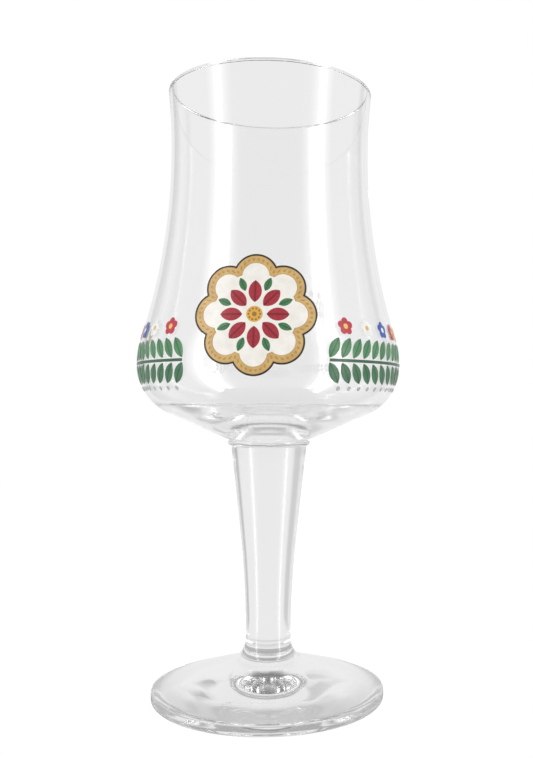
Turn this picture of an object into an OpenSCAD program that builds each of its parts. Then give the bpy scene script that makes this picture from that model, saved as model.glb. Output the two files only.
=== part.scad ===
// Footed tulip beer glass: a blown bowl, a solid stem and a pressed foot, fused at two butt joints,
// with fired enamel films on the front of the bowl.
// The foot stands on Z = 0, the axis of the glass is Z, and the decoration faces -Y.

/* [Bowl] */
// Height of the glass from the table to the top of the rim
glass_h = 200; // [185:1:225]
// Outer diameter of the bowl at its widest
belly_d = 86.4; // [80:0.2:96]
// Height of the widest part above the table
belly_h = 110; // [104:0.5:118]
// Radius of the shoulder below the widest part
shoulder_r = 17.6; // [14:0.2:22]
// Radius of the belly above the widest part
belly_r = 30; // [20:0.5:36]
// Outer diameter of the bowl at its waist
waist_d = 65; // [58:0.2:70]
// Height of the waist above the table
waist_h = 180; // [165:0.5:190]
// Slope of the cone under the bowl, in degrees from level
cone_slope = 23.5; // [18:0.5:25.5]
// Thickness of the bowl's wall
wall = 1.3; // [0.9:0.1:2.2]
// Amount that the bead of the rim stands proud of the wall, on each face
bead_proud = 0.2; // [0.1:0.05:0.5]
// Thickness of the glass under the middle of the bowl
base_t = 6; // [5:0.5:9]
// Radius of the dished floor inside the bowl
dish_r = 105; // [85:1:120]
// Radius of the inside corner around the floor
corner_r = 4; // [2:0.2:5]

/* [Stem] */
// Diameter of the stem at its top, and of the upper joint
stem_top_d = 25; // [20:0.5:30]
// Diameter of the stem at its bottom, and of the lower joint
stem_foot_d = 14.9; // [11:0.1:19]
// Amount that the joint collar stands proud of the stem
collar_proud = 1.2; // [0.6:0.1:1.6]
// Height of the joint collar
collar_h = 1.6; // [1.2:0.1:3]

/* [Foot] */
// Diameter of the foot
foot_d = 76.8; // [66:0.2:90]
// Thickness of the foot's rounded edge
foot_edge = 4.2; // [3:0.1:6]
// Slope of the foot's top, in degrees from level
foot_slope = 18; // [10:0.5:24]
// Radius of the flare from the stem into the foot
flare_r = 8; // [5:0.5:12]
// Width of the flat ring that the glass stands on
stand_w = 5.2; // [3:0.1:10]
// Depth of the hollow under the foot
kick_h = 4; // [1:0.1:6]

/* [Medallion] */
// Thickness of the enamel films
film_t = 0.15; // [0.1:0.01:0.4]
// Turn of the whole decoration from the front, in degrees
print_turn = -2.5; // [-180:0.5:180]
// Diameter of the medallion across its lobes
medallion_d = 36; // [24:0.5:42]
// Height of the medallion's centre above the widest part of the bowl
medallion_rise = 13; // [8:0.5:25]
// Number of the medallion's lobes, petals and leaves
lobe_count = 8; // [6:1:12]
// Width of the medallion's dark outline
outline_w = 0.5; // [0.3:0.1:1]
// Width of the medallion's gold border
border_w = 2.2; // [1.2:0.1:3]
// Length of a petal
petal_l = 7.4; // [5:0.1:9]
// Width of a petal
petal_w = 4.4; // [3:0.1:5]
// Length of a leaf between the petals
sprig_l = 4.6; // [3:0.1:6]
// Width of a leaf between the petals
sprig_w = 2.4; // [1.5:0.1:3]
// Diameter of the heart in the middle
heart_d = 5.4; // [3:0.1:7]
// Gap between the heart, the petals and the leaves
motif_gap = 0.4; // [0.2:0.1:1]

/* [Leaf border] */
// Width of the vine that the leaves grow from
vine_w = 0.9; // [0.5:0.1:1.6]
// Length of a border leaf
leaf_l = 7; // [5:0.1:9]
// Width of a border leaf
leaf_w = 3.2; // [2:0.1:3.4]
// Gap between a leaf and the vine
leaf_gap = 0.25; // [0.2:0.05:0.6]
// Lean of a leaf from upright, in degrees
leaf_lean = 30; // [15:1:40]
// Number of leaves in a row, on each side of the medallion
leaf_count = 10; // [6:1:12]
// Gap between neighbouring leaves
row_gap = 0.45; // [0.3:0.05:1]
// Gap between the medallion and the start of the vine
side_gap = 3.6; // [3:0.1:6]
// Diameter of a dot below the leaves
dot_d = 1.3; // [0.8:0.1:2]
// Gap between the leaves' tips and the row of dots
dot_gap = 0.8; // [0.4:0.1:1.5]
// Diameter of a floret above the leaves
floret_d = 5.4; // [3.5:0.1:6]
// Gap between the leaves' tips and the florets
floret_gap = 0.8; // [0.4:0.1:2]

/* [Hidden] */
$fn = 96;
fine_count = 240;
overrun = 1;

// Bowl outline: cone, shoulder arc, belly arc and hollow flare, each tangent to the next
shoulder_c = [belly_d / 2 - shoulder_r, belly_h];
belly_c = [belly_d / 2 - belly_r, belly_h];
draw_in = (belly_d - waist_d) / 2;
waist_rise = waist_h - belly_h;
arc_span = (draw_in * draw_in + waist_rise * waist_rise) / (2 * draw_in);
hollow_r = arc_span - belly_r;
hollow_c = [waist_d / 2 + hollow_r, waist_h];
turn_a = asin(waist_rise / arc_span);
cone_dir = [sin(cone_slope), -cos(cone_slope)];
cone_top = shoulder_c + shoulder_r * cone_dir;
joint_h = cone_top[1] - (cone_top[0] - stem_top_d / 2) * tan(cone_slope);

// Rim: a round bead on the middle of the wall
bead_d = wall + 2 * bead_proud;
rim_cut_h = glass_h - bead_d / 2;
function hollow_x(grow) = hollow_c[0] - sqrt(pow(hollow_r - grow, 2) - pow(rim_cut_h - waist_h, 2));
bead_c = [(hollow_x(0) + hollow_x(-wall)) / 2, rim_cut_h];

// Inside of the bowl below the widest part: the wall comes down to a dished floor with a rounded corner
floor_h = joint_h + base_t;
dish_c = [0, floor_h + dish_r];
corner_span = shoulder_r - wall - corner_r;
dish_span = dish_r - corner_r;
dish_far = norm(dish_c - shoulder_c);
dish_way = (dish_c - shoulder_c) / dish_far;
corner_along = (pow(dish_far, 2) + pow(corner_span, 2) - pow(dish_span, 2)) / (2 * dish_far);
corner_aside = sqrt(pow(corner_span, 2) - pow(corner_along, 2));
corner_c = shoulder_c + corner_along * dish_way + corner_aside * [dish_way[1], -dish_way[0]];
corner_end = shoulder_c + (corner_c - shoulder_c) * shoulder_r / corner_span;
dish_end = dish_c + (corner_c - dish_c) * (dish_r + overrun) / dish_span;
below_floor_h = floor_h - overrun;
above_belly_h = belly_h + overrun;

// Foot outline: round edge, sloping top, and a flare that ends upright at the lower joint
edge_r = foot_edge / 2;
edge_c = [foot_d / 2 - edge_r, edge_r];
slope_dir = [sin(foot_slope), cos(foot_slope)];
slope_end = edge_c + edge_r * slope_dir;
flare_x = stem_foot_d / 2 + flare_r;
flare_h = slope_end[1] + (slope_end[0] - flare_x) * tan(foot_slope) + flare_r / cos(foot_slope);
flare_c = [flare_x, flare_h];
flare_end = flare_c - flare_r * slope_dir;
kick_x = edge_c[0] - stand_w;
kick_r = (kick_x * kick_x + kick_h * kick_h) / (2 * kick_h);

// Stem outline: a straight taper from the collar, tangent to an arc that ends upright at the lower joint
taper_share = 0.45;
taper_top_h = joint_h - collar_h;
stem_rise = taper_top_h - flare_h;
stem_widen = (stem_top_d - stem_foot_d) / 2;
taper_h = stem_rise * taper_share;
arc_h = stem_rise - taper_h;
solve_count = 6;
function half_tan(guess, steps) = steps == 0 ? guess
    : half_tan(stem_widen / (arc_h + 2 * taper_h / (1 - guess * guess)), steps - 1);
stem_a = 2 * atan(half_tan(0, solve_count));
stem_arc_r = arc_h / sin(stem_a);
stem_arc_c = [stem_foot_d / 2 + stem_arc_r, flare_h];
taper_end = stem_arc_c + stem_arc_r * [-cos(stem_a), sin(stem_a)];
taper_top = [stem_top_d / 2, taper_top_h];
joint_edge = [stem_top_d / 2, joint_h];
collar_c = [stem_top_d / 2, taper_top_h + collar_proud];

// Medallion: lobes on a circle, with a disc that fills their middle
medallion_h = belly_h + medallion_rise;
lobe_share = 0.37;
lobe_r = medallion_d / 2 * lobe_share;
lobe_pcd_r = medallion_d / 2 - lobe_r;
disc_share = 0.83;
disc_r = medallion_d / 2 * disc_share;
petal_start = heart_d / 2 + motif_gap;
sprig_start = petal_start + petal_l / 2 + motif_gap;

// Leaf border: rows on both sides of the vine, with dots below and florets above
leaf_base = vine_w / 2 + leaf_gap;
leaf_reach = leaf_base + leaf_l * cos(leaf_lean);
dot_drop = leaf_reach + dot_gap + dot_d / 2;
floret_rise = leaf_reach + floret_gap + floret_d / 2;
first_turn = asin((medallion_d / 2 + side_gap) / (belly_d / 2));
leaf_turn = (leaf_w + row_gap) / cos(leaf_lean) / (belly_d / 2) * 180 / PI;
row_turn = leaf_turn * leaf_count;
row_top = belly_h + floret_rise + floret_d / 2;
row_drop = dot_drop + dot_d / 2;
row_top_r = hollow_c[0] - sqrt(pow(hollow_r, 2) - pow(waist_h - row_top, 2));
row_low_r = shoulder_c[0] + sqrt(pow(shoulder_r, 2) - pow(row_drop, 2));
row_start = sqrt(pow(min(row_top_r, row_low_r), 2) - pow(leaf_reach, 2)) - overrun;
petal_count = 5;
floret_petal_share = 0.21;
floret_pcd_share = 0.29;
floret_eye_share = 0.24;
red_place_shares = [0.16, 0.82];
white_place_shares = [0.38];
blue_place_shares = [0.6];
yellow_place_shares = [1.03];

// Half outline of the solid bowl with its surface moved out by grow, from the upper joint to a top height
module bowl_fill(grow, top_h) {
    cone_p = shoulder_c + (shoulder_r + grow) * cone_dir;
    cone_end_x = cone_p[0] - (cone_p[1] - joint_h) / tan(cone_slope);
    turn_h = belly_h + (belly_r + grow) * sin(turn_a);
    polygon([[0, joint_h], [cone_end_x, joint_h], cone_p, shoulder_c, [0, belly_h + belly_r]]);
    intersection() {
        translate(shoulder_c) circle(shoulder_r + grow);
        square([belly_d, glass_h]);
    }
    intersection() {
        translate(belly_c) circle(belly_r + grow);
        translate([0, belly_h]) square([belly_d, belly_d]);
    }
    difference() {
        translate([0, turn_h]) square([hollow_c[0], top_h - turn_h]);
        translate(hollow_c) circle(hollow_r - grow, $fn = fine_count);
    }
}

// Half outline of the space inside the bowl
module bowl_hollow() {
    intersection() {
        bowl_fill(-wall, glass_h);
        translate([0, belly_h]) square([belly_d, glass_h]);
    }
    intersection() {
        translate(shoulder_c) circle(shoulder_r - wall);
        polygon([shoulder_c, corner_end, [belly_d, belly_h], [belly_d, above_belly_h],
            [shoulder_c[0], above_belly_h]]);
    }
    translate(corner_c) circle(corner_r);
    intersection() {
        translate(dish_c) circle(dish_r, $fn = fine_count);
        polygon([[0, above_belly_h], [corner_c[0], above_belly_h], corner_c, dish_end,
            [dish_end[0], below_floor_h], [0, below_floor_h]]);
    }
}

// Blown bowl with a thick base and a fire-polished bead at the rim
module bowl() {
    color([0.86, 0.9, 0.9, 0.4])
    rotate_extrude() {
        difference() {
            bowl_fill(0, rim_cut_h);
            bowl_hollow();
        }
        translate(bead_c) circle(d = bead_d);
    }
}

// Solid stem with the collar that was pressed out under the upper joint and is flat on its top
module stem() {
    color([0.84, 0.89, 0.89, 0.4])
    rotate_extrude() {
        difference() {
            translate([0, flare_h]) square([taper_end[0], arc_h]);
            translate(stem_arc_c) circle(stem_arc_r, $fn = fine_count);
        }
        polygon([[0, flare_h], taper_end, taper_top, joint_edge, [0, joint_h]]);
        intersection() {
            translate(collar_c) circle(collar_proud);
            square([belly_d, joint_h]);
        }
    }
}

// Pressed foot with a flared hub, a rounded edge, a standing ring and a hollow underside
module foot() {
    color([0.82, 0.88, 0.88, 0.4])
    rotate_extrude() {
        difference() {
            union() {
                difference() {
                    translate([0, flare_end[1]]) square([flare_end[0], flare_h - flare_end[1]]);
                    translate(flare_c) circle(flare_r);
                }
                polygon([[0, 0], [edge_c[0], 0], edge_c, slope_end, flare_end, [0, flare_end[1]]]);
                translate(edge_c) circle(edge_r);
            }
            translate([0, kick_h - kick_r]) circle(kick_r, $fn = fine_count);
            translate([-foot_d, 0]) square([foot_d, glass_h]);
        }
    }
}

// Enamel film on the bowl where the motif, seen square from its own place on the front, falls on it
module film(hue) {
    color(hue)
    rotate([0, 0, print_turn])
    intersection() {
        rotate_extrude() difference() {
            bowl_fill(film_t, rim_cut_h);
            bowl_fill(0, glass_h);
        }
        union() children();
    }
}

// Flat motif at an angle from the middle of the decoration and at a height, carried out past the belly
// from a start radius inside the glass
module at_front(angle, height, start) {
    rotate([0, 0, angle])
    translate([0, -start, height])
    rotate([90, 0, 0])
    linear_extrude(belly_d / 2 - start + overrun)
    children();
}

// Pointed leaf or petal that grows up from the origin, bounded by two arcs
module blade(length, width) {
    arc_r = (length * length + width * width) / (4 * width);
    translate([0, length / 2])
    intersection() {
        translate([arc_r - width / 2, 0]) circle(arc_r);
        translate([width / 2 - arc_r, 0]) circle(arc_r);
    }
}

// Blades set around the medallion's middle, from a start radius outwards
module rosette(start, length, width, turn_share) {
    for (i = [0 : lobe_count - 1])
        rotate((i + turn_share) * 360 / lobe_count)
        translate([0, start])
        blade(length, width);
}

// Lobed shape of the medallion, with its edge drawn in by inset
module lobed(inset) {
    circle(disc_r - inset);
    for (i = [0 : lobe_count - 1])
        rotate(i * 360 / lobe_count)
        translate([0, lobe_pcd_r])
        circle(lobe_r - inset);
}

module petals_2d() {
    rosette(petal_start, petal_l, petal_w, 0);
}

module sprigs_2d() {
    rosette(sprig_start, sprig_l, sprig_w, 0.5);
}

module heart_2d() {
    circle(d = heart_d);
}

module medallion_outline() {
    film([0.08, 0.07, 0.07])
    at_front(0, medallion_h, 0)
    difference() {
        lobed(0);
        lobed(outline_w);
    }
}

module medallion_border() {
    film([0.8, 0.66, 0.4])
    at_front(0, medallion_h, 0)
    difference() {
        lobed(outline_w);
        lobed(outline_w + border_w);
    }
}

module medallion_field() {
    film([0.95, 0.94, 0.9])
    at_front(0, medallion_h, 0)
    difference() {
        lobed(outline_w + border_w);
        petals_2d();
        sprigs_2d();
        heart_2d();
    }
}

module medallion_petals() {
    film([0.66, 0.16, 0.2]) at_front(0, medallion_h, 0) petals_2d();
}

module medallion_leaves() {
    film([0.3, 0.48, 0.2]) at_front(0, medallion_h, 0) sprigs_2d();
}

module medallion_heart() {
    film([0.86, 0.68, 0.3]) at_front(0, medallion_h, 0) heart_2d();
}

// Vine on both sides of the medallion, as wide as the leaf rows
module border_vine() {
    color([0.2, 0.33, 0.16])
    for (side = [-1, 1])
        rotate([0, 0, print_turn - 90 + side * (first_turn + row_turn / 2) - row_turn / 2])
        rotate_extrude(angle = row_turn)
        intersection() {
            difference() {
                bowl_fill(film_t, rim_cut_h);
                bowl_fill(0, glass_h);
            }
            translate([0, belly_h - vine_w / 2]) square([belly_d, vine_w]);
        }
}

// One row of border leaves on both sides, growing up or down from the vine and leaning outwards
module leaf_row(grow_up) {
    for (side = [-1, 1], i = [0 : leaf_count - 1])
        at_front(side * (first_turn + i * leaf_turn), belly_h, row_start)
        scale([side, grow_up, 1])
        translate([0, leaf_base])
        rotate(-leaf_lean)
        blade(leaf_l, leaf_w);
}

module border_leaves_upper() {
    film([0.38, 0.58, 0.22]) leaf_row(1);
}

module border_leaves_lower() {
    film([0.24, 0.4, 0.19]) leaf_row(-1);
}

module border_dots() {
    film([0.62, 0.63, 0.6])
    for (side = [-1, 1], i = [0 : leaf_count - 1])
        at_front(side * (first_turn + (i + 1) * leaf_turn), belly_h - dot_drop, row_start)
        circle(d = dot_d);
}

// Five-petalled florets on both sides of the medallion, at shares of the leaf rows
module florets(hue, place_shares) {
    film(hue)
    for (side = [-1, 1], place_share = place_shares)
        at_front(side * (first_turn + place_share * row_turn), belly_h + floret_rise, row_start) {
            circle(floret_d * floret_eye_share);
            for (i = [0 : petal_count - 1])
                rotate(i * 360 / petal_count)
                translate([0, floret_d * floret_pcd_share])
                circle(floret_d * floret_petal_share);
        }
}

module florets_red() {
    florets([0.75, 0.14, 0.18], red_place_shares);
}

module florets_blue() {
    florets([0.2, 0.32, 0.62], blue_place_shares);
}

module florets_yellow() {
    florets([0.92, 0.78, 0.2], yellow_place_shares);
}

module florets_white() {
    florets([0.93, 0.93, 0.9], white_place_shares);
}

bowl();
stem();
foot();
medallion_outline();
medallion_border();
medallion_field();
medallion_petals();
medallion_leaves();
medallion_heart();
border_vine();
border_leaves_upper();
border_leaves_lower();
border_dots();
florets_red();
florets_blue();
florets_yellow();
florets_white();
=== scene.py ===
import bpy
import numpy as np
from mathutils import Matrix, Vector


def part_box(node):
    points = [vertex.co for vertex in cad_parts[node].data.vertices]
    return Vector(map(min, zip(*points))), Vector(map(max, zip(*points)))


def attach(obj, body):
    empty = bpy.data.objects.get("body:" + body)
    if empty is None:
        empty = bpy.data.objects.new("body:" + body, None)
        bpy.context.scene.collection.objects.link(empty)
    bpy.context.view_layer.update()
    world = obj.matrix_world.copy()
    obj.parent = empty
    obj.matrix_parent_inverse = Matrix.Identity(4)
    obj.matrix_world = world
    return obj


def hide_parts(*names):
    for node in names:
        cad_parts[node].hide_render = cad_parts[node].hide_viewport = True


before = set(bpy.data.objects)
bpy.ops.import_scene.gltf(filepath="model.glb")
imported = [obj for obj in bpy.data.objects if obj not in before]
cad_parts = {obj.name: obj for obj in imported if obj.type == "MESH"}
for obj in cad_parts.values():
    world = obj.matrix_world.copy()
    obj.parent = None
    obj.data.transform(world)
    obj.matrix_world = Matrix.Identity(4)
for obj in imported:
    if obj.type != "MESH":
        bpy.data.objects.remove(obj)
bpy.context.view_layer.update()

# Foot: a disc of clear soda-lime glass with a flared hub, a round edge, a flat ring to stand on and a
# hollow underside. It is pressed in a mould, and its hub is fused to the stem while both are hot.
mm = 0.001
foot_edge_r = 2.1 * mm
foot_edge_c = np.array([36.3, 2.1]) * mm
low_round = 1.3 * mm
high_round = 0.7 * mm
foot_slope = np.radians(18)
flare_r = 8 * mm
hub_r = 7.45 * mm
stand_in_r = 34 * mm
kick_h = 4 * mm
ring_round = 15 * mm
foot_sides = 240
foot_ripples = (60, 60, 60)
foot_rough = 0.03
hair = 1e-7
glass_crease = np.radians(15)
glass_tint = (0.99, 0.99, 0.99, 1)
glass_ior = 1.52
ripple_depth = 0.6 * mm
ripple_strength = 0.1
mark_scale = 55.0
mark_range = (0.55, 0.8)
mark_rough = 0.02


def arc(centre, radius, start, end, step):
    """Points of an arc in steps of about one length: the centre plus the radius times the cosine and sine
    of angles from start to end, in radians."""
    count = max(int(abs(end - start) * radius / step), 6)
    angle = np.linspace(start, end, count + 1)
    return np.array(centre) + radius * np.stack([np.cos(angle), np.sin(angle)], 1)


def line(start, end, step):
    """Points of a straight run in steps of about one length, both ends included."""
    count = max(int(np.linalg.norm(np.subtract(end, start)) / step), 2)
    return np.linspace(start, end, count + 1)


def chain(*runs):
    """One outline from runs that follow on, with the point that two runs share kept once."""
    points = np.concatenate(runs)
    new = np.linalg.norm(np.diff(points, axis=0), axis=1) > hair
    return points[np.concatenate([[True], new])]


def closed(rings, poles=None, start=0):
    """Points and faces of a closed shell. Its rings each close on themselves, and the first and the last end
    in the two poles or, with none, meet each other. Faces count their points from start."""
    sides = rings.shape[1]
    lead = 0 if poles is None else 2
    grid = start + lead + np.arange(len(rings) * sides).reshape(-1, sides)
    low, high = (grid, np.roll(grid, -1, 0)) if poles is None else (grid[:-1], grid[1:])
    beside = np.roll(grid, -1, 1)
    faces = np.stack([low, np.roll(low, -1, 1), np.roll(high, -1, 1), high], 2).reshape(-1, 4).tolist()
    points = rings.reshape(-1, 3)
    if poles is not None:
        first = np.stack([np.full(sides, start), beside[0], grid[0]], 1)
        last = np.stack([np.full(sides, start + 1), grid[-1], beside[-1]], 1)
        faces = first.tolist() + faces + last.tolist()
        points = np.concatenate([poles, points])
    return points, faces


def turned(name, outline, sides, fused, sway=0):
    """Closed body of revolution: the outline's point of radius r and height z lies at r cos t, r sin t, z for
    each turn t, with sway added to the heights. The outline starts and ends on the axis, where it closes into
    poles. Its flat stretches at a fused height, out to a radius, take the second material."""
    turn = np.linspace(0, 2 * np.pi, sides, endpoint=False)
    radius, height = outline[1:-1, :1], outline[1:-1, 1:]
    rings = np.stack([radius * np.cos(turn), radius * np.sin(turn), height + 0 * turn + sway], 2)
    poles = np.array([[0, 0, outline[0, 1]], [0, 0, outline[-1, 1]]])
    points, faces = closed(rings, poles)
    mesh = bpy.data.meshes.new(name)
    mesh.from_pydata(points.tolist(), [], faces)
    stretch = np.zeros(len(outline) - 1, np.int32)
    for level, reach in fused:
        flat = np.isclose(outline[:, 1], level, atol=hair) & (outline[:, 0] < reach + hair)
        stretch[flat[:-1] & flat[1:]] = 1
    mesh.polygons.foreach_set("material_index", np.repeat(stretch, sides))
    mesh.shade_smooth()
    mesh.set_sharp_from_angle(angle=glass_crease)
    body = bpy.data.objects.new(name, mesh)
    bpy.context.collection.objects.link(body)
    return body


class Sock:
    """An output of a shader node. Arithmetic on it adds Math nodes, and node() adds any other node."""

    def __init__(self, tree, socket=None):
        self.tree, self.socket = tree, socket

    def node(self, kind, settings=None, inputs=None, out=0):
        """Adds a node: its settings first, then the value or the link of each input."""
        made = self.tree.nodes.new(kind)
        for key, value in (settings or {}).items():
            setattr(made, key, value)
        for key, value in (inputs or {}).items():
            if isinstance(value, Sock):
                self.tree.links.new(value.socket, made.inputs[key])
            else:
                made.inputs[key].default_value = value
        return Sock(self.tree, made.outputs[out] if made.outputs else None)

    def also(self, out):
        """Another output of the same node."""
        return Sock(self.tree, self.socket.node.outputs[out])

    def maths(self, operation, left, right=0.0):
        return self.node("ShaderNodeMath", {"operation": operation}, {0: left, 1: right})

    def __add__(self, other):
        return self.maths("ADD", self, other)

    def __radd__(self, other):
        return self.maths("ADD", other, self)

    def __sub__(self, other):
        return self.maths("SUBTRACT", self, other)

    def __rsub__(self, other):
        return self.maths("SUBTRACT", other, self)

    def __mul__(self, other):
        return self.maths("MULTIPLY", self, other)

    def __rmul__(self, other):
        return self.maths("MULTIPLY", other, self)

    def __abs__(self):
        return self.maths("ABSOLUTE", self)

    def __mod__(self, other):
        return self.maths("FLOORED_MODULO", self, other)

    def __lt__(self, other):
        return self.maths("LESS_THAN", self, other)

    def __gt__(self, other):
        return self.maths("GREATER_THAN", self, other)

    def __or__(self, other):
        return self.maths("MAXIMUM", self, other)


def new_material(name):
    """An empty material and the start of its node tree."""
    material = bpy.data.materials.new(name)
    material.use_nodes = True
    material.node_tree.nodes.clear()
    return material, Sock(material.node_tree)


def clear_glass(name, ripples, least_rough=0.0, chill=None):
    """Clear glass with the faint waves that its making leaves: low noise, at so many ripples per metre along
    each axis, bends the surface by microns. Its roughness rises from the least in faint wiping marks. chill
    adds to it, fading smoothly from its roughness at its low height to nothing at its high one."""
    material, tree = new_material(name)
    place = tree.node("ShaderNodeTexCoord", out="Object")
    waves = tree.node("ShaderNodeMapping", {}, {"Vector": place, "Scale": ripples})
    ripple = tree.node("ShaderNodeTexNoise", {}, {"Vector": waves, "Scale": 1.0, "Detail": 1.0})
    bump = tree.node("ShaderNodeBump", {}, {
        "Height": ripple, "Strength": ripple_strength, "Distance": ripple_depth})
    marks = tree.node("ShaderNodeTexNoise", {}, {"Vector": place, "Scale": mark_scale, "Detail": 5.0})
    haze = tree.node("ShaderNodeMapRange", {}, {
        "Value": marks, "From Min": mark_range[0], "From Max": mark_range[1],
        "To Min": least_rough, "To Max": least_rough + mark_rough})
    if chill:
        low, high, rough = chill
        height = tree.node("ShaderNodeSeparateXYZ", {}, {"Vector": place}, out="Z")
        haze = haze + tree.node("ShaderNodeMapRange", {"interpolation_type": "SMOOTHSTEP"}, {
            "Value": height, "From Min": low, "From Max": high, "To Min": rough, "To Max": 0.0})
    surface = tree.node("ShaderNodeBsdfPrincipled", {}, {
        "Base Color": glass_tint, "Transmission Weight": 1.0, "IOR": glass_ior,
        "Roughness": haze, "Normal": bump})
    tree.node("ShaderNodeOutputMaterial", {}, {"Surface": surface})
    return material


def fused_face():
    """The face where two glass pieces have melted into one: light goes on as if nothing were there."""
    material, tree = new_material("fused_face")
    tree.node("ShaderNodeOutputMaterial", {}, {"Surface": tree.node("ShaderNodeBsdfTransparent")})
    return material


slope_turn = np.pi / 2 - foot_slope
slope_dir = np.array([np.cos(slope_turn), np.sin(slope_turn)])
slope_top = foot_edge_c + foot_edge_r * slope_dir
flare_x = hub_r + flare_r
hub_top = slope_top[1] + (slope_top[0] - flare_x) * np.tan(foot_slope) + flare_r / np.cos(foot_slope)
flare_c = np.array([flare_x, hub_top])
kick_r = (stand_in_r**2 + kick_h**2) / (2 * kick_h)
ring_x = np.sqrt(stand_in_r**2 + 2 * kick_h * ring_round)
ring_turn = np.arcsin(ring_x / (kick_r + ring_round))
foot_r = foot_edge_c[0] + foot_edge_r
high_x = foot_edge_r - high_round
high_c = foot_edge_c + [high_x, (high_x - high_x * slope_dir[0]) / slope_dir[1]]
foot_outline = chain(
    arc([0, kick_h - kick_r], kick_r, np.pi / 2, np.pi / 2 - ring_turn, 0.8 * mm),
    arc([ring_x, ring_round], ring_round, -np.pi / 2 - ring_turn, -np.pi / 2, 0.4 * mm),
    line([ring_x, 0], [foot_r - low_round, 0], 1 * mm),
    arc([foot_r - low_round, low_round], low_round, -np.pi / 2, 0, 0.15 * mm),
    arc(high_c, high_round, 0, slope_turn, 0.1 * mm),
    line(high_c + high_round * slope_dir, flare_c - flare_r * slope_dir, 0.8 * mm),
    arc(flare_c, flare_r, slope_turn - np.pi, -np.pi, 0.25 * mm),
    line([hub_r, hub_top], [0, hub_top], 1 * mm),
)
joined = fused_face()
foot = turned("pressed_foot", foot_outline, foot_sides, [(hub_top, hub_r)])
foot.data.materials.append(clear_glass("pressed_glass", foot_ripples, foot_rough))
foot.data.materials.append(joined)
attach(foot, "root")
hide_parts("foot")

# Stem: a solid rod of clear glass, drawn so that it tapers from the bowl to the foot. Pressing it to the
# bowl squeezed out the collar at its top, which is flat above, round below and a little uneven there.
stem_top_r = 12.5 * mm
collar_h = 1.6 * mm
collar_proud = 1.2 * mm
lip_r = 0.25 * mm
stem_sides = 240
stem_ripples = (70, 70, 14)
stem_rough = 0.13
joint_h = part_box("stem")[1][2]
taper_share = 0.45
sag = 0.1 * mm
sag_reach = 1.2 * mm
sag_waves = ((5, 1.0, 0.4), (11, 0.6, 2.1), (17, 0.5, 4.0))
taper_top = np.array([stem_top_r, joint_h - collar_h])
taper_h = (taper_top[1] - hub_top) * taper_share
draw_h = taper_top[1] - hub_top - taper_h
# The taper and the arc below it share a tangent, whose half angle is in its own formula: that is repeated.
half_tan = 0
for _ in range(6):
    half_tan = (stem_top_r - hub_r) / (draw_h + 2 * taper_h / (1 - half_tan**2))
stem_turn = 2 * np.arctan(half_tan)
draw_r = draw_h / np.sin(stem_turn)
draw_c = np.array([hub_r + draw_r, hub_top])
taper_end = draw_c + draw_r * np.array([-np.cos(stem_turn), np.sin(stem_turn)])
collar_c = np.array([stem_top_r, joint_h - collar_h + collar_proud])
lip_rise = joint_h - lip_r - collar_c[1]
lip_turn = np.arcsin(lip_rise / (collar_proud - lip_r))
lip_c = collar_c + (collar_proud - lip_r) * np.array([np.cos(lip_turn), np.sin(lip_turn)])
stem_outline = chain(
    line([0, hub_top], [hub_r, hub_top], 1 * mm),
    arc(draw_c, draw_r, np.pi, np.pi - stem_turn, 0.8 * mm),
    line(taper_end, taper_top, 0.8 * mm),
    arc(collar_c, collar_proud, -np.pi / 2, lip_turn, 0.1 * mm),
    arc(lip_c, lip_r, lip_turn, np.pi / 2, 0.05 * mm),
    line([lip_c[0], joint_h], [stem_top_r, joint_h], 0.2 * mm),
    line([stem_top_r, joint_h], [0, joint_h], 1 * mm),
)
around = np.linspace(0, 2 * np.pi, stem_sides, endpoint=False)
seam_wave = sum(size * np.sin(waves * around + start) for waves, size, start in sag_waves)
near_seam = np.exp(-(((stem_outline[1:-1, 1:] - taper_top[1]) / sag_reach) ** 2))
near_seam[stem_outline[1:-1, 1] > joint_h - hair] = 0
stem = turned("drawn_stem", stem_outline, stem_sides, [(hub_top, hub_r), (joint_h, stem_top_r)],
              sag * near_seam * seam_wave)
stem.data.materials.append(clear_glass("drawn_glass", stem_ripples, stem_rough))
stem.data.materials.append(joined)
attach(stem, "root")
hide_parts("stem")

# Bowl: a blown tulip of clear glass, with a short cone, a round shoulder, a full belly, a drawn-in waist
# and a fire-polished bead at the rim. Its base is thick under a dished floor and a little dull, where the
# mould chilled it. It is fused to the stem.
glass_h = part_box("bowl")[1][2]
belly_out_r = 43.2 * mm
belly_h = 110 * mm
shoulder_r = 17.6 * mm
belly_r = 30 * mm
waist_r = 32.5 * mm
waist_h = 180 * mm
cone_slope = np.radians(23.5)
wall = 1.3 * mm
bead_proud = 0.2 * mm
bead_half_h = 0.5 * mm
bead_shift = 0.15 * mm
base_t = 6 * mm
dish_r = 105 * mm
corner_r = 4 * mm
chilled_base = (94 * mm, 106 * mm, 0.065)
bowl_ripples = (22, 22, 30)
bowl_sides = 400
shoulder_c = np.array([belly_out_r - shoulder_r, belly_h])
belly_c = np.array([belly_out_r - belly_r, belly_h])
draw_in = belly_out_r - waist_r
waist_rise = waist_h - belly_h
arc_span = (draw_in**2 + waist_rise**2) / (2 * draw_in)
hollow_r = arc_span - belly_r
hollow_c = np.array([waist_r + hollow_r, waist_h])
belly_turn = np.arcsin(waist_rise / arc_span)
bead_r = wall / 2 + bead_proud
bead_c_h = glass_h - bead_half_h
bead_turn_out, bead_turn_in = np.arccos((wall / 2 + bead_shift * np.array([1, -1])) / bead_r)


def hollow_radius(height, grow):
    """Radius of the hollow flare at a height: its centre's distance from the axis, less the root of its own
    radius squared less the rise squared. grow moves the surface out."""
    return hollow_c[0] - np.sqrt((hollow_r - grow) ** 2 - (height - waist_h) ** 2)


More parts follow.
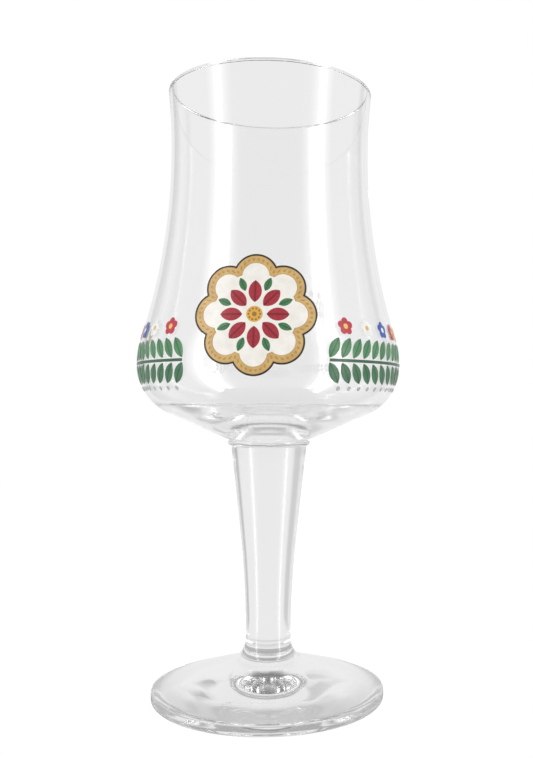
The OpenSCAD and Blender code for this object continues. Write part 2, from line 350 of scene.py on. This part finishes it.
def hollow_wall(grow, bead_turn, step):
    """Outline of the flare, from the belly to where the bead starts, which the bead's turn there gives."""
    turn_h = belly_h + (belly_r + grow) * np.sin(belly_turn)
    bead_low = bead_c_h - bead_half_h * np.sin(bead_turn)
    height = np.linspace(turn_h, bead_low, int((bead_low - turn_h) / step))
    return np.stack([hollow_radius(height, grow), height], 1)


cone_turn = cone_slope - np.pi / 2
cone_top = shoulder_c + shoulder_r * np.array([np.cos(cone_turn), np.sin(cone_turn)])
floor_h = joint_h + base_t
dish_c = np.array([0, floor_h + dish_r])
corner_span = shoulder_r - wall - corner_r
dish_far = np.linalg.norm(dish_c - shoulder_c)
dish_way = (dish_c - shoulder_c) / dish_far
corner_along = (dish_far**2 + corner_span**2 - (dish_r - corner_r) ** 2) / (2 * dish_far)
corner_aside = np.sqrt(corner_span**2 - corner_along**2)
corner_c = shoulder_c + corner_along * dish_way + corner_aside * np.array([dish_way[1], -dish_way[0]])
corner_turn = np.arctan2(*(corner_c - shoulder_c)[::-1])
dish_turn = np.arctan2(*(corner_c - dish_c)[::-1])
bead_c = np.array([(hollow_radius(bead_c_h, 0) + hollow_radius(bead_c_h, -wall)) / 2 - bead_shift, bead_c_h])
bowl_outline = chain(
    line([0, joint_h], [stem_top_r, joint_h], 4 * mm),
    line([stem_top_r, joint_h], cone_top, 3 * mm),
    arc(shoulder_c, shoulder_r, cone_turn, 0, 0.8 * mm),
    arc(belly_c, belly_r, 0, belly_turn, 0.9 * mm),
    hollow_wall(0, bead_turn_out, 1.4 * mm),
    bead_c + [bead_r, bead_half_h] * arc([0, 0], 1, -bead_turn_out, np.pi + bead_turn_in, 0.14),
    hollow_wall(-wall, bead_turn_in, 1.4 * mm)[::-1],
    arc(belly_c, belly_r - wall, belly_turn, 0, 0.9 * mm),
    arc(shoulder_c, shoulder_r - wall, 0, corner_turn, 0.8 * mm),
    arc(corner_c, corner_r, corner_turn, dish_turn, 0.3 * mm),
    arc(dish_c, dish_r, dish_turn, -np.pi / 2, 2 * mm),
)
bowl = turned("blown_bowl", bowl_outline, bowl_sides, [(joint_h, stem_top_r)])
bowl.data.materials.append(clear_glass("blown_glass", bowl_ripples, chill=chilled_base))
bowl.data.materials.append(joined)
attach(bowl, "root")
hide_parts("bowl")

# Medallion: an eight-lobed emblem of fired enamel, one film for each colour, printed on the front of the
# belly. The dark outline and the gold border are rings, and a white field fills them.
film_t = 0.15 * mm
field_t = 0.11 * mm
film_sink = 0.02 * mm
film_crease = np.radians(40)
edge_drop = 0.6
edge_power = 12
cloud_scale = 320.0
grain_scale = 2600.0
drift_range = (0.35, 0.7)
skin_depth = 0.04 * mm
skin_strength = 0.15
print_turn = np.radians(-2.5)
medallion_r = 18 * mm
medallion_place = np.array([0, belly_h + 13 * mm])
lobe_count = 8
lobe_r = medallion_r * 0.37
lobe_place_r = medallion_r - lobe_r
disc_r = medallion_r * 0.83
outline_w = 0.5 * mm
border_w = 2.2 * mm
field_inset = outline_w + border_w
field_rings = 20
edge_points = 480
bead_count = 72


def bowl_radius(height, grow):
    """Radius of the bowl's outer face at a height, moved out by grow: the shoulder's or the belly's centre
    plus the root of its own radius squared less the rise squared, and above the belly the flare's radius."""
    rise = height - belly_h
    round_r = np.where(rise < 0, shoulder_r, belly_r) + grow
    round_x = np.where(rise < 0, shoulder_c[0], belly_c[0])
    swell = round_x + np.sqrt(np.maximum(round_r**2 - rise**2, 0))
    return np.where(rise > (belly_r + grow) * np.sin(belly_turn), hollow_radius(height, grow), swell)


def on_bowl(flat, angle, grow):
    """Carries flat points (across, height) straight back onto the bowl, so that depth squared is the bowl's
    radius squared less across squared, and then turns them about Z by the angle of their place."""
    across, height = flat[..., 0], flat[..., 1]
    depth = -np.sqrt(bowl_radius(height, grow) ** 2 - across**2)
    cos, sin = np.cos(angle + print_turn), np.sin(angle + print_turn)
    return np.stack(np.broadcast_arrays(cos * across - sin * depth, sin * across + cos * depth, height), -1)


def spun(points, turn):
    """Flat points turned about the origin, counter-clockwise."""
    cos, sin = np.cos(turn), np.sin(turn)
    return points @ np.array([[cos, sin], [-sin, cos]])


def lobed(count, lobe, place, disc, points):
    """Edge of a disc with a round lobe at the end of each spoke. Along a ray at an angle d from the nearest
    spoke a lobe ends at place cos d + root(lobe squared - (place sin d) squared), and the larger of lobe and
    disc holds. The edge runs clockwise."""
    angle = np.linspace(2 * np.pi, 0, points, endpoint=False)
    step = 2 * np.pi / count
    off = (angle - np.pi / 2 + step / 2) % step - step / 2
    chord = lobe**2 - (place * np.sin(off)) ** 2
    reach = np.where(chord > 0, place * np.cos(off) + np.sqrt(np.maximum(chord, 0)), 0)
    return np.maximum(reach, disc)[:, None] * np.stack([np.cos(angle), np.sin(angle)], 1)


def eased(way):
    """Share of a film's thickness on the way from its middle, 0, to its edge, 1: one less a drop that grows
    as a high power of the way, so that only the edge rounds off."""
    return 1 - edge_drop * np.abs(way) ** edge_power


def patch(own, unit, place, angle=0, thick=film_t, sink=film_sink, turn=0, mirror=(1, 1), rings=5):
    """A closed film over a motif. Shares of the way from its middle to its edge, which runs clockwise, give
    the rings of the outer face, and the same rings taken back, sunk a little into the glass, give the inner
    face. The motif is turned, mirrored and moved to its place. Its own axes, over unit, are its UV map."""
    own = own[:: mirror[0] * mirror[1]]
    edge = spun(own, turn) * mirror + place
    share = np.linspace(0, 1, rings + 1)[1:, None, None]
    middle, own_middle = edge.mean(0), own.mean(0)
    face = middle + share * (edge - middle)
    uv = (own_middle + share * (own - own_middle)) / unit
    outer = on_bowl(face, angle, thick * eased(share[..., 0]))
    inner = on_bowl(face, angle, -sink)[::-1]
    poles = np.stack([on_bowl(middle, angle, thick), on_bowl(middle, angle, -sink)])
    pole_uv = np.stack([own_middle / unit] * 2)
    return np.concatenate([outer, inner]), poles, np.concatenate([uv, uv[::-1]]), pole_uv


def band(inside, outside, place):
    """A closed film between two edges of as many points, whose outer and inner faces are rings at shares of
    the way across. Its UV map holds the turn and the way across, as shares."""
    share = np.linspace(0, 1, 7)[:, None, None]
    face = inside + share * (outside - inside) + place
    turn_share = np.linspace(0, 1, len(inside), endpoint=False)[None, :, None]
    uv = np.concatenate([turn_share + 0 * share, share + 0 * turn_share], 2)
    outer = on_bowl(face, 0, film_t * eased(2 * share[..., 0] - 1))
    inner = on_bowl(face, 0, -film_sink)[::-1]
    return np.concatenate([outer, inner]), None, np.concatenate([uv, uv[::-1]]), np.zeros((0, 2))


def film(name, node, material, shells):
    """One enamel piece from its closed shells, with the motifs' own axes in its UV map."""
    points, faces, maps = [], [], []
    for rings, poles, uv, pole_uv in shells:
        shell_points, shell_faces = closed(rings, poles, sum(map(len, points)))
        points += [shell_points]
        faces += shell_faces
        maps += [pole_uv, uv.reshape(-1, 2)]
    mesh = bpy.data.meshes.new(name)
    mesh.from_pydata(np.concatenate(points).tolist(), [], faces)
    corners = np.zeros(len(mesh.loops), np.int32)
    mesh.loops.foreach_get("vertex_index", corners)
    layer = mesh.uv_layers.new(name="motif")
    layer.data.foreach_set("uv", np.concatenate(maps)[corners].astype(np.float32).ravel())
    mesh.shade_smooth()
    mesh.set_sharp_from_angle(angle=film_crease)
    mesh.materials.append(material)
    piece = bpy.data.objects.new(name, mesh)
    bpy.context.collection.objects.link(piece)
    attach(piece, "root")
    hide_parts(node)


def ink(red, green, blue):
    """A colour as a screen shows it, from 0 to 255, in linear light."""
    seen = np.array([red, green, blue]) / 255
    return (*np.where(seen > 0.04045, ((seen + 0.055) / 1.055) ** 2.4, seen / 12.92).tolist(), 1)


def enamel(name, colour, shade, mark=None):
    """Fired enamel: a satin skin whose colour drifts to a darker shade in soft clouds and fine grains. mark,
    if any, gives the mask and the ink of what is drawn on it."""
    material, tree = new_material(name)
    place = tree.node("ShaderNodeTexCoord", out="Object")
    clouds = tree.node("ShaderNodeTexNoise", {}, {"Vector": place, "Scale": cloud_scale, "Detail": 4.0})
    grains = tree.node("ShaderNodeTexNoise", {}, {"Vector": place, "Scale": grain_scale, "Detail": 2.0})
    drift = tree.node("ShaderNodeMapRange", {}, {
        "Value": clouds * 0.7 + grains * 0.3, "From Min": drift_range[0], "From Max": drift_range[1]})
    paint = tree.node("ShaderNodeMix", {"data_type": "RGBA"}, {0: drift, 6: colour, 7: shade}, out=2)
    if mark:
        mask, drawn = mark(tree)
        paint = tree.node("ShaderNodeMix", {"data_type": "RGBA"}, {0: mask, 6: paint, 7: drawn}, out=2)
    skin = tree.node("ShaderNodeBump", {}, {
        "Height": grains, "Strength": skin_strength, "Distance": skin_depth})
    surface = tree.node("ShaderNodeBsdfPrincipled", {}, {
        "Base Color": paint, "Roughness": 0.26 + 0.16 * clouds, "Normal": skin, "IOR": 1.5})
    tree.node("ShaderNodeOutputMaterial", {}, {"Surface": surface})
    return material


def motif_axes(tree):
    """The two values of the motif's UV map."""
    axes = tree.node("ShaderNodeUVMap", {"uv_map": "motif"})
    split = tree.node("ShaderNodeSeparateXYZ", {}, {"Vector": axes})
    return split, split.also("Y")


def beads(tree):
    """Drawn on the border: a row of round beads along its middle, and a thin line near each edge."""
    turn_share, across = motif_axes(tree)
    along = turn_share * bead_count % 1 - 0.5
    off = across - 0.5
    bead = along * along * 0.55 + off * off < 0.035
    edge = abs(off) > 0.42
    return bead * 0.55 | edge * 0.35, ink(146, 108, 52)


def medallion_edge(inset):
    """Edge of the medallion, moved in by a width."""
    return lobed(lobe_count, lobe_r - inset, lobe_place_r, disc_r - inset, edge_points)


film("enamel_outline", "medallion_outline",
     enamel("black_enamel", ink(38, 36, 36), ink(24, 22, 22)),
     [band(medallion_edge(outline_w), medallion_edge(0), medallion_place)])
film("enamel_border", "medallion_border",
     enamel("gold_enamel", ink(208, 174, 110), ink(188, 150, 88), beads),
     [band(medallion_edge(field_inset), medallion_edge(outline_w), medallion_place)])
film("enamel_field", "medallion_field",
     enamel("white_enamel", ink(240, 237, 230), ink(226, 222, 214)),
     [patch(medallion_edge(field_inset), medallion_r, medallion_place, thick=field_t, rings=field_rings)])

# Flower of the medallion: eight crimson petals around a gold heart, with a green leaf between each two.
# Each colour is a film of its own, laid by its own screen, and reaches the glass through the white field.
heart_r = 2.7 * mm
petal_l = 7.4 * mm
petal_w = 4.4 * mm
sprig_l = 4.6 * mm
sprig_w = 2.4 * mm
motif_gap = 0.4 * mm
motif_sink = 0.03 * mm
petal_start = heart_r + motif_gap
sprig_start = petal_start + petal_l / 2 + motif_gap


def blade(length, width):
    """Edge of a pointed leaf that grows up from the origin, bounded by two arcs: at t from its middle it
    reaches root(radius squared - t squared) less radius, plus half the width, to each side. It runs
    clockwise."""
    arc_r = (length**2 + width**2) / (4 * width)
    t = -length / 2 * np.cos(np.linspace(0, np.pi, 25))
    half = np.sqrt(arc_r**2 - t**2) - arc_r + width / 2
    left = np.stack([-half, t + length / 2], 1)
    right = np.stack([half, t + length / 2], 1)
    return np.concatenate([left, right[-2:0:-1]])


def rosette(length, width, start, turn_share):
    """Blades around the medallion's middle, each from the start radius outwards."""
    shells = []
    for index in range(lobe_count):
        turn = (index + turn_share) * 2 * np.pi / lobe_count
        place = medallion_place + spun(np.array([0, start]), turn)
        shells += [patch(blade(length, width), np.array([width / 2, length]), place,
                         sink=motif_sink, turn=turn)]
    return shells


def veins(drawn, ribs):
    """Drawn on a leaf: a midrib, and ribs that leave it at a slant."""

    def mark(tree):
        across, along = motif_axes(tree)
        wide = abs(across)
        rib = (along * ribs - wide * 0.9) % 1 < 0.2
        return (wide < 0.13) * 0.75 | rib * 0.3, drawn

    return mark


def stamens(tree):
    """Drawn on the heart: a core and a ring of ten dots, from the radius and the angle of its own axes."""
    across, along = motif_axes(tree)
    radius = tree.maths("SQRT", across * across + along * along)
    spoke = tree.maths("ARCTAN2", across, along) * (10 / (2 * np.pi)) % 1 - 0.5
    ring = radius - 0.62
    dot = ring * ring + spoke * spoke * 0.12 < 0.014
    return (dot | (radius < 0.26)) * 0.8, ink(140, 92, 40)


film("enamel_petals", "medallion_petals",
     enamel("crimson_enamel", ink(176, 50, 62), ink(150, 36, 50), veins(ink(112, 22, 36), 5)),
     rosette(petal_l, petal_w, petal_start, 0))
film("enamel_sprigs", "medallion_leaves",
     enamel("sprig_enamel", ink(76, 132, 84), ink(56, 106, 68), veins(ink(34, 74, 50), 5)),
     rosette(sprig_l, sprig_w, sprig_start, 0.5))
film("enamel_heart", "medallion_heart",
     enamel("heart_enamel", ink(222, 178, 84), ink(204, 154, 62), stamens),
     [patch(lobed(1, 0, 0, heart_r, 96), heart_r, medallion_place, sink=motif_sink)])

# Leaf border: a vine around the front of the belly on both sides of the medallion, with leaves above and
# below it and a row of grey dots under them, printed in fired enamel.
vine_w = 0.9 * mm
leaf_l = 7 * mm
leaf_w = 3.2 * mm
leaf_gap = 0.25 * mm
leaf_lean = np.radians(30)
leaf_count = 10
row_gap = 0.45 * mm
side_gap = 3.6 * mm
dot_r = 0.65 * mm
dot_gap = 0.8 * mm
leaf_base = vine_w / 2 + leaf_gap
leaf_reach = leaf_base + leaf_l * np.cos(leaf_lean)
dot_drop = leaf_reach + dot_gap + dot_r
first_turn = np.arcsin((medallion_r + side_gap) / belly_out_r)
leaf_turn = (leaf_w + row_gap) / np.cos(leaf_lean) / belly_out_r
row_turn = leaf_turn * leaf_count
both_sides = (-1, 1)


def vine(side):
    """A strip along the widest part of the bowl: at each angle of the row, a section that runs across its
    outer face and back on the glass. The first and the last section close into poles."""
    angle = side * np.linspace(first_turn, first_turn + row_turn, 121)[::side, None]
    rise = np.linspace(-vine_w / 2, vine_w / 2, 7)
    flat = np.stack([0 * rise, belly_h + rise], 1)
    outer = on_bowl(flat, angle, film_t * eased(2 * rise / vine_w))
    inner = on_bowl(flat, angle, -film_sink)[:, ::-1]
    sections = np.concatenate([outer, inner], 1)
    return sections, sections[[0, -1]].mean(1), np.zeros((*sections.shape[:2], 2)), np.zeros((2, 2))


def leaf_row(up):
    """Leaves along the vine on both sides, growing up or down and leaning away from the medallion."""
    place = np.array([0, belly_h + up * leaf_base])
    shells = []
    for side in both_sides:
        for index in range(leaf_count):
            shells += [patch(blade(leaf_l, leaf_w), np.array([leaf_w / 2, leaf_l]), place,
                             side * (first_turn + index * leaf_turn), turn=-leaf_lean, mirror=(side, up))]
    return shells


def dot_row():
    """Dots under the gaps between the leaves' tips, on both sides."""
    place = np.array([0, belly_h - dot_drop])
    shells = []
    for side in both_sides:
        for index in range(leaf_count):
            angle = side * (first_turn + (index + 1) * leaf_turn)
            shells += [patch(lobed(1, 0, 0, dot_r, 32), dot_r, place, angle)]
    return shells


film("enamel_vine", "border_vine",
     enamel("vine_enamel", ink(48, 92, 62), ink(36, 72, 52)), [vine(side) for side in both_sides])
film("enamel_leaves_upper", "border_leaves_upper",
     enamel("leaf_enamel", ink(78, 136, 88), ink(58, 112, 70), veins(ink(36, 78, 54), 6)), leaf_row(1))
film("enamel_leaves_lower", "border_leaves_lower",
     enamel("shade_leaf_enamel", ink(60, 114, 74), ink(46, 94, 62), veins(ink(30, 62, 48), 6)), leaf_row(-1))
film("enamel_dots", "border_dots",
     enamel("grey_enamel", ink(172, 178, 174), ink(154, 162, 158)), dot_row())

# Florets: five-petalled flowers above the leaves on both sides, in four enamel colours, each colour a film
# of its own.
floret_d = 5.4 * mm
floret_gap = 0.8 * mm
floret_rise = leaf_reach + floret_gap + floret_d / 2


def florets(shares):
    """Flowers at shares of the leaf row: five round lobes on a small disc."""
    own = lobed(5, floret_d * 0.21, floret_d * 0.29, floret_d * 0.24, 120)
    place = np.array([0, belly_h + floret_rise])
    shells = []
    for side in both_sides:
        for share in shares:
            shells += [patch(own, floret_d / 2, place, side * (first_turn + share * row_turn))]
    return shells


def eye(drawn):
    """Drawn on a floret: a round eye."""

    def mark(tree):
        across, along = motif_axes(tree)
        return (across * across + along * along < 0.09) * 0.9, drawn

    return mark


film("enamel_florets_red", "florets_red",
     enamel("red_enamel", ink(190, 48, 66), ink(164, 36, 54), eye(ink(232, 196, 90))), florets([0.16, 0.82]))
film("enamel_florets_blue", "florets_blue",
     enamel("blue_enamel", ink(50, 88, 176), ink(38, 68, 146), eye(ink(236, 232, 222))), florets([0.6]))
film("enamel_florets_yellow", "florets_yellow",
     enamel("yellow_enamel", ink(236, 198, 56), ink(214, 170, 40), eye(ink(150, 92, 36))), florets([1.03]))
film("enamel_florets_white", "florets_white",
     enamel("pale_enamel", ink(234, 234, 230), ink(214, 216, 212), eye(ink(206, 166, 70))), florets([0.38]))

# Stage: a table under a white sheet that curves up behind it, in a white tent that is darker above and on the
# camera's side and has a gap at each end of the sheet. What glass sees of the sheet has painted shade in
# front of the glass and towards the sheet's top, and a painted shadow in a ring around the foot. Two tall
# strip lamps, brightest along their middle, stand beside the table.
sheet_half_w = 0.07
sheet_front = -0.1
sheet_back = 0.75
sheet_curve = 0.35
sheet_top = 1.7
sheet_gap = 0.1 * mm
# Painted shade on the sheet, seen only through the glass: darker in front of the glass.
painted_shade_tone = 0.6
painted_shade_fade = (-0.015, 0.03)
# Painted shadow: a ring of the sheet around the foot is darkened as if the lamps threw the foot's shadow
# there; only glass sees it.
painted_shadow_depth = 0.5
painted_shadow_start = (0.032, 0.037)
painted_shadow_end = (0.043, 0.053)
camera_white = 0.94
shadow_share = 0.14
tent_tone = 0.86
front_tone = 0.6
front_fade = (-0.85, -0.45)
top_tone = 0.24
top_fade = (0.55, 0.85)
soft_tone = 0.66
gaps = (((-54, -36), 0.7), ((44, 54), 0.5))
gap_blur = 4
strip_w, strip_low, strip_high = 0.18, -0.35, 0.55
strip_distance = 0.32
strip_turns = (np.radians(-54), np.radians(61))
strip_tone = 0.8
strip_skirt = 1.6
strip_core = 4.5
core_power = 30.0


def fade(value, start, end, low, high):
    """A smooth change from low to high as the value goes from start to end."""
    return value.node("ShaderNodeMapRange", {"interpolation_type": "SMOOTHSTEP"}, {
        "Value": value, "From Min": start, "From Max": end, "To Min": low, "To Max": high})


def past_gaps(place):
    """How bright the tent is in the direction of a place: less in each gap, between two bearings in degrees
    from straight behind the glass."""
    bearing = place.maths("ARCTAN2", place, place.also("Y")) * (180 / np.pi)
    bright = 1.0
    for (start, end), depth in gaps:
        inside = fade(bearing, start - gap_blur, start + gap_blur, 0.0, 1.0) * fade(
            bearing, end - gap_blur, end + gap_blur, 1.0, 0.0)
        bright = bright * (1 - inside * (1 - depth))
    return bright


sheet_run = chain(
    line([sheet_front, -sheet_gap], [sheet_back - sheet_curve, -sheet_gap], 0.1),
    arc([sheet_back - sheet_curve, sheet_curve], sheet_curve, -np.pi / 2, 0, 0.03),
    line([sheet_back, sheet_curve], [sheet_back, sheet_top], 0.1),
)
sheet_across = np.linspace(-sheet_half_w, sheet_half_w, 9)
sheet_points = np.stack([
    sheet_across[None] + 0 * sheet_run[:, :1], sheet_run[:, :1] + 0 * sheet_across,
    sheet_run[:, 1:] + 0 * sheet_across], 2)
sheet_grid = np.arange(sheet_points[..., 0].size).reshape(sheet_points.shape[:2])
sheet_faces = np.stack([
    sheet_grid[:-1, :-1], sheet_grid[:-1, 1:], sheet_grid[1:, 1:], sheet_grid[1:, :-1]], 2)
sheet_mesh = bpy.data.meshes.new("white_sheet")
sheet_mesh.from_pydata(sheet_points.reshape(-1, 3).tolist(), [], sheet_faces.reshape(-1, 4).tolist())
sheet_mesh.shade_smooth()
sheet = bpy.data.objects.new("white_sheet", sheet_mesh)
bpy.context.collection.objects.link(sheet)
sheet_material, tree = new_material("white_sheet")
rays = tree.node("ShaderNodeLightPath", out="Is Camera Ray")
paper = tree.node("ShaderNodeBsdfDiffuse", {}, {"Color": (0.8, 0.8, 0.8, 1)})
shadow = tree.node("ShaderNodeBsdfDiffuse", {}, {"Color": (shadow_share, shadow_share, shadow_share, 1)})
white = tree.node("ShaderNodeEmission", {}, {"Strength": camera_white})
seen = tree.node("ShaderNodeAddShader", {}, {0: shadow, 1: white})
split = tree.node("ShaderNodeSeparateXYZ", {}, {"Vector": tree.node("ShaderNodeTexCoord", out="Object")})
back = split.also("Y")
reach = tree.maths("SQRT", split * split + back * back)
# Painted shadow ring around the foot: its depth, and the radii where it starts and ends.
shade = fade(reach, *painted_shadow_start, 0.0, painted_shadow_depth) * fade(reach, *painted_shadow_end, 1.0, 0.0)
steep = split.also("Z") * (1 / sheet_back)
# Painted shade: the sheet grows darker towards its top, as the tent does.
above = fade(steep, *np.tan(np.arcsin(top_fade)).tolist(), 1.0, top_tone)
# What glass sees of the sheet: the even tent tone with the painted shade in front, the painted shadow ring
# and the painted shade at the top.
painted_sheet_tone = fade(back, *painted_shade_fade, painted_shade_tone, tent_tone) * (1 - shade) * above
painted_through_glass = tree.node("ShaderNodeEmission", {}, {"Strength": painted_sheet_tone})
in_glass = rays.also("Is Glossy Ray") | rays.also("Is Transmission Ray")
bounced = tree.node("ShaderNodeMixShader", {}, {0: in_glass, 1: paper, 2: painted_through_glass})
surface = tree.node("ShaderNodeMixShader", {}, {0: rays, 1: bounced, 2: seen})
tree.node("ShaderNodeOutputMaterial", {}, {"Surface": surface})
sheet_mesh.materials.append(sheet_material)

tent = bpy.data.worlds.new("white_tent")
tent.use_nodes = True
tent.node_tree.nodes.clear()
bpy.context.scene.world = tent
tree = Sock(tent.node_tree)
rays = tree.node("ShaderNodeLightPath", out="Is Camera Ray")
split = tree.node("ShaderNodeSeparateXYZ", {}, {"Vector": tree.node("ShaderNodeTexCoord", out="Generated")})
front = fade(split.also("Y"), *front_fade, front_tone, tent_tone)
above = fade(split.also("Z"), *top_fade, 1.0, top_tone)
bright = front * above * past_gaps(split) | rays.also("Is Diffuse Ray") * soft_tone
glow = tree.node("ShaderNodeBackground", {}, {"Color": (1, 1, 1, 1), "Strength": bright})
blank = tree.node("ShaderNodeBackground", {}, {"Color": (1, 1, 1, 1), "Strength": 1.0})
tree.node("ShaderNodeOutputWorld", {}, {
    "Surface": tree.node("ShaderNodeMixShader", {}, {0: rays, 1: glow, 2: blank})})
lamp_material, tree = new_material("strip_lamp")
across = tree.node("ShaderNodeSeparateXYZ", {}, {"Vector": tree.node("ShaderNodeTexCoord", out="Object")})
bell = 1 - across * across * (4 / strip_w**2)
glare = tree.maths("POWER", bell, core_power) * strip_core + bell * bell * strip_skirt + strip_tone
lit = tree.node("ShaderNodeEmission", {}, {"Strength": glare})
tree.node("ShaderNodeOutputMaterial", {}, {"Surface": lit})
for turn in strip_turns:
    strip_mesh = bpy.data.meshes.new("strip_lamp")
    strip_mesh.from_pydata([(x, 0, z) for z in (strip_low, strip_high) for x in (-strip_w / 2, strip_w / 2)],
                           [], [(0, 1, 3, 2)])
    strip_mesh.materials.append(lamp_material)
    lamp = bpy.data.objects.new("strip_lamp", strip_mesh)
    lamp.location = (strip_distance * np.sin(turn), -strip_distance * np.cos(turn), 0)
    lamp.rotation_euler = (0, 0, turn)
    lamp.visible_camera = False
    bpy.context.collection.objects.link(lamp)

# Camera: at the photograph's place, level and a little to the right of the glass, at half its height.
# The framing is shifted up and to the left, and the camera is rolled by a quarter of a degree.
image_w, image_h = 533, 758
focal_px = 874.7
centre_px = (325.8, 408.1)
camera_place = (18.9 * mm, -292.2 * mm, 96 * mm)
camera_roll = -0.0046
glass_bounces = 200
lens = bpy.data.cameras.new("camera")
lens.sensor_width = 36
lens.lens = focal_px * lens.sensor_width / image_h
lens.shift_x = (image_w / 2 - centre_px[0]) / image_h
lens.shift_y = (centre_px[1] - image_h / 2) / image_h
lens.clip_start = 0.01
camera = bpy.data.objects.new("camera", lens)
camera.location = camera_place
camera.rotation_euler = (np.pi / 2, camera_roll, 0)
bpy.context.collection.objects.link(camera)
scene = bpy.context.scene
scene.camera = camera
scene.view_settings.view_transform = "Standard"
scene.cycles.max_bounces = glass_bounces
scene.cycles.transmission_bounces = glass_bounces
scene.cycles.glossy_bounces = glass_bounces
scene.cycles.transparent_max_bounces = 64
